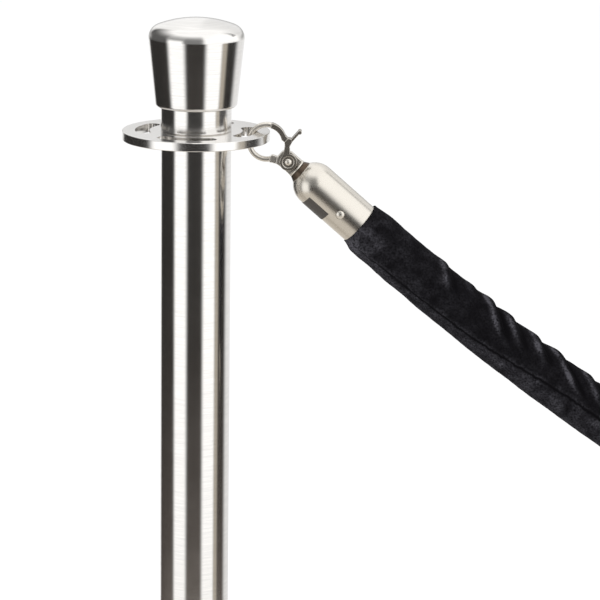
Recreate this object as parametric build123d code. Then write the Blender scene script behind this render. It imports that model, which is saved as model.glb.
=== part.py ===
from build123d import *
import math
import os

# Rope barrier stanchion: a round weighted base, a two-inch tube, a slotted ring plate, a crown
# finial, and a velvet rope clipped to the plate with a trigger snap hook. Millimetres, +Z up,
# with the origin on the floor under the tube's axis. The rope leaves along +X.

# Driving dimensions
OVERALL_HEIGHT = 1016.0
BASE_RADIUS = 177.8
BASE_TOP = 34.0
TUBE_RADIUS = 25.4
TUBE_WALL = 1.5
THREAD_RADIUS = 6.0

# Base
RING_HEIGHT = 9.0
RING_LIP = 2.8
RING_INNER_RADIUS = 160.0
RING_LEDGE = 3.0
COVER_SHEET = 0.8
COVER_RIM_HEIGHT = 11.0
COVER_SHOULDER = 4.0
HUB_RADIUS = 33.0
RECESS_RADIUS = 16.0
RECESS_TOP = 16.0
UNDERSIDE_RADIUS = 150.0
UNDERSIDE_TOP = 12.0
WASHER_RADIUS = 12.5
WASHER_THICKNESS = 2.5
LOCK_RADIUS = 10.5
LOCK_GAP_WIDTH = 1.6
BOLT_HEAD_HEIGHT = 6.5
BOLT_FLATS_RADIUS = 10.4
PLUG_LENGTH = 20.0
COLLAR_RADIUS = 32.0
COLLAR_HEIGHT = 10.0
COLLAR_LIP = 2.0
COLLAR_WALL = 1.6

# Ring plate
PLATE_RADIUS = 53.3
PLATE_THICKNESS = 6.35
PLATE_EDGE_ROUND = 0.5
SLOT_COUNT = 4
SLOT_INNER_RADIUS = 33.5
SLOT_OUTER_RADIUS = 44.0
SLOT_SPAN = 65.0
SLOT_FIRST_CENTRE = -8.5

# Finial
CROWN_HEIGHT = 63.75
CROWN_FOOT_RADIUS = 29.4
CROWN_RADIUS = 34.5
CROWN_SHOULDER = 10.0
CROWN_DOME_RADIUS = 80.0
CROWN_FOOT_ROUND = 2.6
CROWN_WALL = 2.0
NECK_HEIGHT = 17.6
NECK_RADIUS = 25.5
NECK_BORE = 18.0
NECK_CHAMFER = 0.8
INSERT_FLANGE_RADIUS = 24.0
INSERT_FLANGE = 9.0
STUD_REACH_UP = 38.0

# Snap hook, in its own axes: the ring's centre is the origin, X runs towards the rope and the
# thumb tab is on the +Z side
HOOK_RING_RADIUS = 12.6
HOOK_WIRE_HALF = 1.85
HOOK_WIRE_DEPTH = 2.4
HOOK_WIRE_ROUND = 1.6
HOOK_NOSE_ANGLE = 118.0
HOOK_RING_END_ANGLE = 332.0
HOOK_NOSE_GAP_ANGLE = 1.0
BLOCK_START = 12.9
BLOCK_END = 29.3
BLOCK_HALF_HEIGHT = 6.6
BLOCK_HALF_DEPTH = 2.75
BLOCK_FLANGE = 1.0
BLOCK_FLANGE_RADIUS = 7.2
ROOT_HALF_DEPTH = 2.6
PIVOT_X = 21.0
PIVOT_Z = -0.3
BOSS_RADIUS = 6.3
EAR_OUTER = 4.05
EAR_INNER = 2.9
EAR_CLEAR_RADIUS = 9.2
EAR_DISH_RADIUS = 4.2
EAR_DISH_DEPTH = 0.35
ARM_HALF_DEPTH = 2.9
TAB_X = 12.4
TAB_FOOT_Z = 12.4
TAB_TOP_Z = 21.4
TAB_THICKNESS = 1.7
TAB_ROLL_RADIUS = 1.4
TAB_HALF_DEPTH = 4.0
RIVET_RADIUS = 1.5
RIVET_HEAD_RADIUS = 2.75
RIVET_HEAD_HEIGHT = 1.2
RUNNING_CLEARANCE = 0.06
SPRING_WIRE_RADIUS = 0.35
SPRING_COIL_RADIUS = 2.3
SPRING_TURNS = 3
SPRING_PITCH = 0.95
SPRING_POCKET_RADIUS = 3.3
SPRING_POCKET_HALF = 2.0
PIN_RADIUS = 2.5
PIN_START = 25.0
PIN_HEAD_RADIUS = 6.0
PIN_HEAD_START = 35.7
PIN_HEAD_END = 38.2

# Ferrule, on the hook's X axis
NECK_CONE_START = 29.6
NECK_CONE_RADIUS = 7.0
FERRULE_START = 33.5
FERRULE_RADIUS = 15.875
FERRULE_WALL = 1.2
FERRULE_END_WALL = 2.0
FERRULE_DOME_CENTRE = 46.5
FERRULE_MOUTH = 106.0
SCREW_X = 73.1
SCREW_TURN = 8.7
SCREW_HEAD_RADIUS = 3.3
SCREW_HEAD_HEIGHT = 1.2
SCREW_SHAFT_RADIUS = 1.4
SCREW_LENGTH = 8.0
LABEL_START = 48.3
LABEL_END = 66.8
LABEL_FIRST_ANGLE = 29.0
LABEL_LAST_ANGLE = 115.0
LABEL_THICKNESS = 0.15

# Rope
CORE_RADIUS = 14.4
COVER_RADIUS = 19.0
COVER_INNER_RADIUS = 16.15
CORE_START = 66.0
SLEEVE_START = 90.0

# Where the rope's two hooks lie: the ring's centre, seen from the plate's top, and the angle
# that the rope hangs below the horizontal there
NEAR_RING_X = 51.0
NEAR_RING_DROP = 7.8
NEAR_SLOPE = 41.2
FAR_SLOPE = 34.0
FAR_LAST_BEND_X = 303.0
FAR_LAST_BEND_DROP = 211.9
FAR_BEND_TO_RING = 108.0
FIRST_BEND = 120.0

# Heights worked out from them
PLATE_TOP = OVERALL_HEIGHT - NECK_HEIGHT - CROWN_HEIGHT
PLATE_BOTTOM = PLATE_TOP - PLATE_THICKNESS
TUBE_BORE = TUBE_RADIUS - TUBE_WALL
COVER_RIM_RADIUS = BASE_RADIUS - RING_LIP
SLOT_MIDDLE_RADIUS = (SLOT_INNER_RADIUS + SLOT_OUTER_RADIUS) / 2
SLOT_WIDTH = SLOT_OUTER_RADIUS - SLOT_INNER_RADIUS

PARTS = {}


def add(name, shape):
    """Keeps one finished sub-part under its node's name."""
    PARTS[name] = shape


def disc(radius, low, high, bore=0.0):
    """An upright cylinder between two heights, with an optional bore."""
    height = high - low
    shape = Pos(0, 0, (low + high) / 2) * Cylinder(radius, height)
    if bore:
        shape -= Pos(0, 0, (low + high) / 2) * Cylinder(bore, height)
    return shape


def turned(edges):
    """A solid of revolution about Z, from a closed outline drawn in X and Z."""
    return revolve(make_face(Plane.XZ * edges), Axis.Z)


# ---------------------------------------------------------------- base

def base_bulk(shrink, low):
    """The base's full domed shape, inset by one sheet thickness for the weight."""
    rim = COVER_RIM_RADIUS - shrink
    rim_top = COVER_RIM_HEIGHT - shrink
    crown = BASE_TOP - shrink
    shoulder = (rim - COVER_SHOULDER, rim_top + COVER_SHOULDER * 0.8)
    corner = (rim - COVER_SHOULDER * 0.25, rim_top + COVER_SHOULDER * 0.55)
    middle = ((shoulder[0] + HUB_RADIUS) / 2, (shoulder[1] + crown) / 2 + 1.6)
    outline = Curve() + [
        Line((0, low), (rim, low)),
        Line((rim, low), (rim, rim_top)),
        ThreePointArc((rim, rim_top), corner, shoulder),
        ThreePointArc(shoulder, middle, (HUB_RADIUS, crown)),
        Line((HUB_RADIUS, crown), (0, crown)),
        Line((0, crown), (0, low)),
    ]
    return turned(outline)


def make_base():
    """Rubber floor ring, cast weight and the spun cover over it."""
    ring = disc(BASE_RADIUS, 0, RING_HEIGHT, COVER_RIM_RADIUS)
    ring += disc(COVER_RIM_RADIUS, 0, RING_LEDGE, RING_INNER_RADIUS)
    outer_edge = ring.edges().filter_by(GeomType.CIRCLE).sort_by(Axis.Z)[-2:]
    ring = fillet(outer_edge, RING_LIP * 0.4)
    add("floor_ring", ring)

    weight_bulk = base_bulk(COVER_SHEET, RING_LEDGE)
    cover = base_bulk(0, RING_LEDGE) - weight_bulk
    cover -= disc(THREAD_RADIUS, 0, BASE_TOP)
    add("base_cover", cover)

    weight = weight_bulk - disc(THREAD_RADIUS, 0, BASE_TOP)
    weight -= disc(UNDERSIDE_RADIUS, 0, UNDERSIDE_TOP)
    weight -= disc(RECESS_RADIUS, 0, RECESS_TOP)
    add("base_weight", weight)


def make_base_fastening():
    """The bolt that draws the tube down on the base, with its two washers."""
    washer_low = RECESS_TOP - WASHER_THICKNESS
    add("base_washer", disc(WASHER_RADIUS, washer_low, RECESS_TOP, THREAD_RADIUS))

    lock_low = washer_low - WASHER_THICKNESS
    lock = disc(LOCK_RADIUS, lock_low, washer_low, THREAD_RADIUS)
    split = Pos(LOCK_RADIUS, 0, (lock_low + washer_low) / 2)
    split *= Box(LOCK_RADIUS, LOCK_GAP_WIDTH, 2 * WASHER_THICKNESS)
    add("base_lock_washer", lock - split)

    head_low = lock_low - BOLT_HEAD_HEIGHT
    head = extrude(RegularPolygon(BOLT_FLATS_RADIUS, 6), BOLT_HEAD_HEIGHT)
    shank = disc(THREAD_RADIUS, lock_low, BASE_TOP + PLUG_LENGTH)
    add("base_bolt", Pos(0, 0, head_low) * head + shank)


# ---------------------------------------------------------------- post

def make_post():
    """The tube, the plug in each end and the trim collar at its foot."""
    add("post_tube", disc(TUBE_RADIUS, BASE_TOP, PLATE_BOTTOM, TUBE_BORE))
    add("foot_plug", disc(TUBE_BORE, BASE_TOP, BASE_TOP + PLUG_LENGTH, THREAD_RADIUS))
    add("top_plug", disc(TUBE_BORE, PLATE_BOTTOM - PLUG_LENGTH, PLATE_BOTTOM, THREAD_RADIUS))

    top = BASE_TOP + COLLAR_HEIGHT
    lip_top = BASE_TOP + COLLAR_LIP
    throat = TUBE_RADIUS + COLLAR_WALL
    middle = (throat + COLLAR_WALL, lip_top + COLLAR_WALL)
    outline = Curve() + [
        Line((TUBE_RADIUS, BASE_TOP), (COLLAR_RADIUS, BASE_TOP)),
        Line((COLLAR_RADIUS, BASE_TOP), (COLLAR_RADIUS, lip_top)),
        ThreePointArc((COLLAR_RADIUS, lip_top), middle, (throat, top)),
        Line((throat, top), (TUBE_RADIUS, top)),
        Line((TUBE_RADIUS, top), (TUBE_RADIUS, BASE_TOP)),
    ]
    add("foot_collar", turned(outline))


def make_ring_plate():
    """The flat ring plate with its arc-shaped slots for the rope hooks."""
    plate = disc(PLATE_RADIUS, PLATE_BOTTOM, PLATE_TOP)
    rims = [e for e in plate.edges().filter_by(GeomType.CIRCLE) if e.radius > TUBE_RADIUS]
    plate = fillet(rims, PLATE_EDGE_ROUND)
    end_angle = math.degrees(SLOT_WIDTH / 2 / SLOT_MIDDLE_RADIUS)
    sweep_angle = SLOT_SPAN - 2 * end_angle
    for index in range(SLOT_COUNT):
        start = SLOT_FIRST_CENTRE + index * 360 / SLOT_COUNT - sweep_angle / 2
        line = CenterArc((0, 0), SLOT_MIDDLE_RADIUS, start, sweep_angle)
        slot = extrude(SlotArc(line, SLOT_WIDTH), PLATE_THICKNESS)
        plate -= Pos(0, 0, PLATE_BOTTOM) * slot
    plate -= disc(THREAD_RADIUS, PLATE_BOTTOM, PLATE_TOP)
    add("ring_plate", plate)


# ---------------------------------------------------------------- finial

def crown_bulk(inset):
    """The crown's tapered, domed shape, inset by its wall for the hollow."""
    foot = PLATE_TOP + NECK_HEIGHT + inset
    top = OVERALL_HEIGHT - inset
    wide = CROWN_RADIUS - inset
    narrow = CROWN_FOOT_RADIUS - inset
    shoulder = CROWN_SHOULDER - inset
    dome = CROWN_DOME_RADIUS - inset
    reach = wide - shoulder
    dome_centre = top - dome
    shoulder_centre = dome_centre + math.sqrt((dome - shoulder) ** 2 - reach ** 2)
    lean = math.atan2(reach, shoulder_centre - dome_centre)
    meet = (dome * math.sin(lean), dome_centre + dome * math.cos(lean))
    half = (lean + math.pi / 2) / 2
    bend = (reach + shoulder * math.sin(half), shoulder_centre + shoulder * math.cos(half))
    crest = (dome * math.sin(lean / 2), dome_centre + dome * math.cos(lean / 2))
    outline = Curve() + [
        Line((0, foot), (narrow, foot)),
        Line((narrow, foot), (wide, shoulder_centre)),
        ThreePointArc((wide, shoulder_centre), bend, meet),
        ThreePointArc(meet, crest, (0, top)),
        Line((0, top), (0, foot)),
    ]
    return turned(outline)


def make_finial():
    """The crown, its neck, the insert that joins them and the stud that holds them down."""
    neck_top = PLATE_TOP + NECK_HEIGHT
    neck = disc(NECK_RADIUS, PLATE_TOP, neck_top, NECK_BORE)
    foot_edge = neck.edges().filter_by(GeomType.CIRCLE).group_by(Axis.Z)[0].sort_by(SortBy.RADIUS)
    add("finial_neck", chamfer(foot_edge[-1], NECK_CHAMFER))

    crown = crown_bulk(0)
    foot_edge = crown.edges().filter_by(GeomType.CIRCLE).sort_by(Axis.Z)[0]
    crown = fillet(foot_edge, CROWN_FOOT_ROUND)
    crown -= crown_bulk(CROWN_WALL)
    crown -= disc(NECK_BORE, neck_top, neck_top + CROWN_WALL)
    add("finial_crown", crown)

    flange_low = neck_top + CROWN_WALL
    insert = disc(NECK_BORE, PLATE_TOP, flange_low)
    insert += disc(INSERT_FLANGE_RADIUS, flange_low, flange_low + INSERT_FLANGE)
    insert -= disc(THREAD_RADIUS, PLATE_TOP, flange_low + INSERT_FLANGE)
    add("finial_insert", insert)
    add("finial_stud", disc(THREAD_RADIUS, PLATE_BOTTOM - PLUG_LENGTH, PLATE_TOP + STUD_REACH_UP))


# ---------------------------------------------------------------- snap hook

def across(sketch, half_depth):
    """A sketch in the hook's X and Z, made solid to the same depth on both sides."""
    return extrude(Plane.XZ * sketch, half_depth, both=True)


def along_x(radius, low, high, bore=0.0):
    """A round bar on the hook's X axis, with an optional bore."""
    bar = Pos((low + high) / 2, 0, 0) * Rot(0, 90, 0) * Cylinder(radius, high - low)
    if bore:
        bar -= Pos((low + high) / 2, 0, 0) * Rot(0, 90, 0) * Cylinder(bore, high - low)
    return bar


def at_pivot(radius, half_depth):
    """A round bar across the hook on the trigger's pivot."""
    return Pos(PIVOT_X, 0, PIVOT_Z) * Rot(90, 0, 0) * Cylinder(radius, 2 * half_depth)


def on_circle(radius, angle):
    """A point on a circle about the ring's centre."""
    return (radius * math.cos(math.radians(angle)), radius * math.sin(math.radians(angle)))


def hook_body():
    """The cast ring, open where the trigger closes it, and the block that it grows from."""
    section = RectangleRounded(2 * HOOK_WIRE_HALF, 2 * HOOK_WIRE_DEPTH, HOOK_WIRE_ROUND)
    wire = Pos(HOOK_RING_RADIUS, 0) * section
    ring = revolve(wire, Axis.Y, HOOK_RING_END_ANGLE - HOOK_NOSE_ANGLE)
    ring = Rot(0, -HOOK_RING_END_ANGLE, 0) * ring
    root = [(8.8, -5.5), (9.6, -4.1), (13.4, -2.4), (16.0, -6.9), (13.0, -8.3), (10.9, -9.6)]
    block = [
        (BLOCK_START, 2.6),
        (BLOCK_START, -2.8),
        (15.2, -7.1),
        (20.5, -6.3),
        (BLOCK_END, -BLOCK_HALF_HEIGHT),
        (BLOCK_END, BLOCK_HALF_HEIGHT),
        (18.0, 6.6),
    ]
    body = ring + across(make_face(Polyline(root, close=True)), ROOT_HALF_DEPTH)
    body += across(make_face(Polyline(block, close=True)), BLOCK_HALF_DEPTH)
    body += along_x(BLOCK_FLANGE_RADIUS, BLOCK_END - BLOCK_FLANGE, BLOCK_END)
    body -= at_pivot(RIVET_RADIUS, BLOCK_HALF_DEPTH)
    body -= at_pivot(SPRING_POCKET_RADIUS, SPRING_POCKET_HALF)
    body -= along_x(PIN_RADIUS, PIN_START, BLOCK_END)
    return body


def hook_trigger():
    """The sprung gate: an arm that closes the ring, two ears on the rivet and a thumb tab."""
    outer = HOOK_RING_RADIUS + HOOK_WIRE_HALF
    inner = HOOK_RING_RADIUS - HOOK_WIRE_HALF
    nose = HOOK_NOSE_ANGLE - HOOK_NOSE_GAP_ANGLE
    neck_inside = [(15.4, -2.4), (13.7, 2.9), (11.7, 6.3), (9.3, 8.6)]
    neck_outside = [(9.4, 12.4), (10.9, 13.6), (13.3, 12.6), (14.3, 8.7), (17.6, 5.6)]
    arm = Curve() + [
        ThreePointArc(on_circle(outer, nose), on_circle(outer, 90), on_circle(outer, 62)),
        Polyline([on_circle(outer, 62)] + neck_outside),
        Line(neck_outside[-1], neck_inside[0]),
        Polyline(neck_inside + [on_circle(inner, 52)]),
        ThreePointArc(on_circle(inner, 52), on_circle(inner, 85), on_circle(inner, nose)),
        Line(on_circle(inner, nose), on_circle(outer, nose)),
    ]
    ears = make_face(Polyline(neck_inside + neck_outside, close=True))
    ears += Pos(PIVOT_X, PIVOT_Z) * Circle(BOSS_RADIUS)
    gate = across(make_face(arm), ARM_HALF_DEPTH) + across(ears, EAR_OUTER)
    tab_height = TAB_TOP_Z - TAB_FOOT_Z
    gate += Pos(TAB_X, 0, TAB_FOOT_Z + tab_height / 2) * Box(
        TAB_THICKNESS, 2 * TAB_HALF_DEPTH, tab_height
    )
    roll = Rot(90, 0, 0) * Cylinder(TAB_ROLL_RADIUS, 2 * TAB_HALF_DEPTH)
    gate += Pos(TAB_X + 0.4, 0, TAB_TOP_Z) * roll
    gate -= at_pivot(EAR_CLEAR_RADIUS, EAR_INNER)
    gate -= at_pivot(RIVET_RADIUS + RUNNING_CLEARANCE, EAR_OUTER)
    dish = at_pivot(EAR_DISH_RADIUS, EAR_OUTER) - at_pivot(
        EAR_DISH_RADIUS, EAR_OUTER - EAR_DISH_DEPTH
    )
    return gate - dish


def hook_rivet():
    """The trigger's pivot, headed over at both ends."""
    seat = EAR_OUTER - EAR_DISH_DEPTH + RUNNING_CLEARANCE
    rivet = at_pivot(RIVET_RADIUS, seat)
    cap_radius = (RIVET_HEAD_RADIUS ** 2 + RIVET_HEAD_HEIGHT ** 2) / (2 * RIVET_HEAD_HEIGHT)
    for side in (-1, 1):
        ball_y = side * (seat + RIVET_HEAD_HEIGHT - cap_radius)
        ball = Pos(PIVOT_X, ball_y, PIVOT_Z) * Sphere(cap_radius)
        slab_y = side * (seat + RIVET_HEAD_HEIGHT / 2)
        slab = Pos(PIVOT_X, slab_y, PIVOT_Z) * Rot(90, 0, 0)
        rivet += ball & slab * Cylinder(RIVET_HEAD_RADIUS, RIVET_HEAD_HEIGHT)
    return rivet


def trigger_spring():
    """The small coil round the rivet, inside the block."""
    height = SPRING_TURNS * SPRING_PITCH
    path = Helix(SPRING_PITCH, height, SPRING_COIL_RADIUS)
    wire = Plane(path @ 0, z_dir=path % 0) * Circle(SPRING_WIRE_RADIUS)
    coil = sweep(wire, path)
    return Pos(PIVOT_X, height / 2, PIVOT_Z) * Rot(90, 0, 0) * coil


def swivel_pin():
    """The pin that is fixed in the block and turns in the ferrule's neck."""
    return along_x(PIN_RADIUS, PIN_START, PIN_HEAD_START) + along_x(
        PIN_HEAD_RADIUS, PIN_HEAD_START, PIN_HEAD_END
    )


# ---------------------------------------------------------------- ferrule

def ferrule_collar():
    """The conical neck between the hook's block and the domed ferrule."""
    outer_end = math.sqrt(FERRULE_RADIUS ** 2 - (FERRULE_DOME_CENTRE - FERRULE_START) ** 2)
    middle = (NECK_CONE_START + FERRULE_START) / 2
    length = FERRULE_START - NECK_CONE_START
    cone = Pos(middle, 0, 0) * Rot(0, 90, 0) * Cone(NECK_CONE_RADIUS, outer_end, length)
    return cone - along_x(PIN_RADIUS + RUNNING_CLEARANCE, NECK_CONE_START, FERRULE_START)


def ferrule_bulk(radius, start, end):
    """A round-nosed bar, cut flat where the nose starts."""
    bar = Pos(FERRULE_DOME_CENTRE, 0, 0) * Sphere(radius)
    bar += along_x(radius, FERRULE_DOME_CENTRE, end)
    return bar & along_x(radius + 1, start, end)


def ferrule():
    """The domed metal cup that holds the rope's end, drilled for two screws."""
    cup = ferrule_bulk(FERRULE_RADIUS, FERRULE_START, FERRULE_MOUTH)
    cup -= ferrule_bulk(
        FERRULE_RADIUS - FERRULE_WALL, FERRULE_START + FERRULE_END_WALL, FERRULE_MOUTH
    )
    cup -= along_x(PIN_RADIUS + RUNNING_CLEARANCE, FERRULE_START, PIN_HEAD_START)
    for screw in ferrule_screws():
        cup -= screw
    return cup


def ferrule_screws():
    """Two round-headed screws, one on each side of the ferrule."""
    seat = FERRULE_RADIUS - 0.25
    cap_radius = (SCREW_HEAD_RADIUS ** 2 + SCREW_HEAD_HEIGHT ** 2) / (2 * SCREW_HEAD_HEIGHT)
    head = Pos(0, 0, seat + SCREW_HEAD_HEIGHT - cap_radius) * Sphere(cap_radius)
    head &= Pos(0, 0, seat + SCREW_HEAD_HEIGHT / 2) * Cylinder(
        SCREW_HEAD_RADIUS, SCREW_HEAD_HEIGHT
    )
    shaft = Pos(0, 0, seat - SCREW_LENGTH / 2) * Cylinder(SCREW_SHAFT_RADIUS, SCREW_LENGTH)
    screw = head + shaft
    return [
        Pos(SCREW_X, 0, 0) * Rot(turn, 0, 0) * screw
        for turn in (90 + SCREW_TURN, 270 + SCREW_TURN)
    ]


def ferrule_label():
    """A thin plain label round the lower front of the ferrule."""
    skin = along_x(FERRULE_RADIUS + LABEL_THICKNESS, LABEL_START, LABEL_END, FERRULE_RADIUS)
    reach = 2 * FERRULE_RADIUS
    wedge = [(0, 0)]
    for angle in (LABEL_FIRST_ANGLE, (LABEL_FIRST_ANGLE + LABEL_LAST_ANGLE) / 2, LABEL_LAST_ANGLE):
        turn = math.radians(angle)
        wedge.append((-reach * math.cos(turn), -reach * math.sin(turn)))
    sector = extrude(Plane.YZ * make_face(Polyline(wedge, close=True)), LABEL_END + 1)
    return skin & sector


# ---------------------------------------------------------------- rope

def route(start):
    """The rope's line between its two ferrules, each end's point the same way up its ferrule."""
    slope = math.radians(NEAR_SLOPE)
    far_slope = math.radians(FAR_SLOPE)
    ring_z = PLATE_TOP - NEAR_RING_DROP

    def near_point(distance):
        return (
            NEAR_RING_X + distance * math.cos(slope),
            0,
            ring_z - distance * math.sin(slope),
        )

    far_length = FAR_BEND_TO_RING - start
    return [
        near_point(start),
        near_point(FIRST_BEND),
        (185.0, 0, PLATE_TOP - 123.3),
        (225.0, 0, PLATE_TOP - 155.0),
        (266.0, 0, PLATE_TOP - 185.7),
        (FAR_LAST_BEND_X, 0, PLATE_TOP - FAR_LAST_BEND_DROP),
        (
            FAR_LAST_BEND_X + far_length * math.cos(far_slope),
            0,
            PLATE_TOP - FAR_LAST_BEND_DROP - far_length * math.sin(far_slope),
        ),
    ]


def rope_line(start):
    """Straight runs joined by tangent arcs as large as the runs allow."""
    points = [Vector(*p) for p in route(start)]
    radii = []
    for before, here, after in zip(points, points[1:], points[2:]):
        run = min((here - before).length, (after - here).length)
        half_turn = math.radians((here - before).get_angle(after - here)) / 2
        radii.append(0.45 * run / math.tan(half_turn))
    print("bend radii, mm:", [round(r) for r in radii])
    return FilletPolyline(*points, radius=radii)


def tube_along(line, radius, bore=0.0):
    """A round tube swept along the rope's line."""
    section = Circle(radius)
    if bore:
        section -= Circle(bore)
    shape = sweep(Plane(line @ 0, z_dir=line % 0) * section, line)
    share = shape.volume / (math.pi * (radius ** 2 - bore ** 2) * line.length)
    print("tube length, mm:", round(line.length, 1), "volume share:", round(share, 4))
    return shape


def end_places():
    """Where the near and the far hook's own axes lie."""
    far = math.radians(FAR_SLOPE)
    far_ring = (
        FAR_LAST_BEND_X + FAR_BEND_TO_RING * math.cos(far),
        0,
        PLATE_TOP - FAR_LAST_BEND_DROP - FAR_BEND_TO_RING * math.sin(far),
    )
    near = Pos(NEAR_RING_X, 0, PLATE_TOP - NEAR_RING_DROP) * Rot(0, NEAR_SLOPE, 0)
    return {"near": near, "far": Pos(*far_ring) * Rot(0, 180 + FAR_SLOPE, 0) * Rot(180, 0, 0)}


def make_rope():
    """The rope's core and cover, and the ferrule and snap hook at each end."""
    core = tube_along(rope_line(CORE_START), CORE_RADIUS)
    for name, place in end_places().items():
        screws = [place * screw for screw in ferrule_screws()]
        for screw in screws:
            core -= screw
        add(name + "_hook_body", place * hook_body())
        add(name + "_trigger", place * hook_trigger())
        add(name + "_trigger_rivet", place * hook_rivet())
        add(name + "_trigger_spring", place * trigger_spring())
        add(name + "_swivel_pin", place * swivel_pin())
        add(name + "_ferrule_collar", place * ferrule_collar())
        add(name + "_ferrule", place * ferrule())
        add(name + "_ferrule_screws", Compound(children=screws))
    add("near_ferrule_label", end_places()["near"] * ferrule_label())
    add("rope_core", core)
    add("rope_cover", tube_along(rope_line(SLEEVE_START), COVER_RADIUS, COVER_INNER_RADIUS))


make_base()
make_base_fastening()
make_post()
make_ring_plate()
make_finial()
make_rope()
os.makedirs("parts", exist_ok=True)
for node, solid in PARTS.items():
    export_step(solid, f"parts/{node}.step")
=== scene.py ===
import math

import bmesh
import bpy
from bpy.props import FloatProperty, FloatVectorProperty, IntProperty, PointerProperty
from mathutils import Euler, Matrix, Vector, noise


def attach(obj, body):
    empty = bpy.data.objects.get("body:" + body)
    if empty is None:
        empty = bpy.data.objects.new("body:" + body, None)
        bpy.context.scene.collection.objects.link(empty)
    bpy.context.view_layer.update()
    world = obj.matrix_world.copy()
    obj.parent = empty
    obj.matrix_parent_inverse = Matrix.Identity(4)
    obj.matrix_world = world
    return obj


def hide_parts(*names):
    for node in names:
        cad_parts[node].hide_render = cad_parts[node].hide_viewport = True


bl_info = {
    "name": "Rope barrier stanchion",
    "version": (1, 0, 0),
    "blender": (4, 5, 0),
    "location": "3D View > Sidebar > Stanchion",
    "description": "Finishes, velvet rope cover and studio for a rope barrier stanchion",
    "category": "Object",
}

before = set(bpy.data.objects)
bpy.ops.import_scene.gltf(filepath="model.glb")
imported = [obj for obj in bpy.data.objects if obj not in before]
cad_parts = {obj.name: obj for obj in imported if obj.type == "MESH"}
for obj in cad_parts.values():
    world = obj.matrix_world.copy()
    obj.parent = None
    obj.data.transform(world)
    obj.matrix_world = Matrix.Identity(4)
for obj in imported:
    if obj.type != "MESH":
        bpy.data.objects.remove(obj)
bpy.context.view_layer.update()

MM = 0.001
# The part of a noise's range that shows. The nodes spread it over the range they need.
NOISE_LOW = 0.3
NOISE_HIGH = 0.7

# The rope's route between its two ferrules, in metres: the first two and the last two points lie
# on the ferrules' own axes.
ROPE_POINTS = (
    (0.118717, 0.0, 0.867568),
    (0.141289, 0.0, 0.847807),
    (0.185000, 0.0, 0.811350),
    (0.225000, 0.0, 0.779650),
    (0.266000, 0.0, 0.748950),
    (0.303000, 0.0, 0.722750),
    (0.317923, 0.0, 0.712685),
)

ROUND_STEEL_NODES = ("post_tube", "finial_crown", "finial_neck", "foot_collar")
ZINC_NODES = (
    "base_bolt",
    "base_washer",
    "base_lock_washer",
    "finial_stud",
    "finial_insert",
    "foot_plug",
    "top_plug",
)
# The pieces that both ends of the rope have, and how far each ferrule slopes down, in degrees.
END_SLOPES = {"near": 41.2, "far": 34.0}
BRIGHT_PARTS = ("hook_body", "trigger_rivet", "ferrule_screws")
CONE_PARTS = ("swivel_pin", "ferrule_collar")


def linear(code):
    """An sRGB hex colour as linear red, green, blue and alpha."""
    parts = [int(code[i : i + 2], 16) / 255 for i in (0, 2, 4)]
    return (
        *(v / 12.92 if v <= 0.04045 else ((v + 0.055) / 1.055) ** 2.4 for v in parts),
        1.0,
    )


def size(name, description, millimetres):
    """A length property."""
    return FloatProperty(
        name=name,
        description=description,
        default=millimetres * MM,
        min=0.0,
        max=0.5,
        precision=5,
        unit="LENGTH",
    )


def colour(name, description, code):
    """A colour property whose default is an sRGB hex value."""
    return FloatVectorProperty(
        name=name,
        description=description,
        default=linear(code),
        size=4,
        min=0.0,
        max=1.0,
        subtype="COLOR",
    )


# ---------------------------------------------------------------- settings


class CoverSettings(bpy.types.PropertyGroup):
    radius: size("Radius", "Radius of the filled cover", 19.0)
    mouth_radius: size("Mouth radius", "Radius of the cover's open ends", 16.9)
    inner_radius: size("Hem radius", "Radius of the hem turned in over the ferrule", 16.2)
    swell: size("Swell", "Length over which the mouth opens to the full radius", 13.0)
    hem: size("Hem", "Depth of the hem turned into each mouth", 9.0)
    seam_depth: size("Seam depth", "Depth of the sewn seam", 0.48)
    seam_width: size("Seam width", "Half width of the seam's groove", 1.0)
    stitch: size("Stitch", "Length of one stitch of the seam", 3.2)
    unevenness: size("Unevenness", "Height of the cloth's slow waves", 0.45)
    around: IntProperty(
        name="Around", description="Points round the cover", default=168, min=24, max=400,
    )
    steps: IntProperty(
        name="Steps", description="Points on each span of the rope's line", default=52,
        min=8, max=200,
    )


class MetalSettings(bpy.types.PropertyGroup):
    steel: colour("Stainless", "Colour of the stainless steel", "e6e4e1")
    nickel: colour("Satin nickel", "Colour of the ferrules' satin nickel", "d8d3ca")
    bright_nickel: colour("Bright nickel", "Colour of the hooks' bright nickel", "e6e1d8")
    # The triggers' colour: a darker copy of the bright nickel, painted shade on their flat faces.
    dull_nickel: colour("Dull nickel", "Colour of the triggers' unpolished nickel", "a8a299")
    # Painted shade for the hooks' recesses and over the parts that sit in narrow gaps.
    recess_shade: colour("Tarnish", "Colour of the tarnish in the hooks' recesses", "5b4f44")
    zinc: colour("Zinc", "Colour of the zinc-plated fastenings", "b9bcc0")
    iron: colour("Iron", "Colour of the cast base weight", "2e2f31")
    brush_roughness: FloatProperty(
        name="Brushing", description="Roughness of the brushed steel", default=0.15, min=0.0, max=1.0,
        subtype="FACTOR",
    )


class SoftSettings(bpy.types.PropertyGroup):
    velvet: colour("Velvet", "Colour of the velvet seen into the pile", "0b0a0c")
    pile: colour("Pile", "Colour of the velvet where the pile catches light", "46454a")
    cotton: colour("Cotton", "Colour of the rope's cotton core", "d8cfbe")
    rubber: colour("Rubber", "Colour of the floor ring's rubber", "1b1b1c")
    label: colour("Label", "Colour of the plain label film", "3f3b37")


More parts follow.
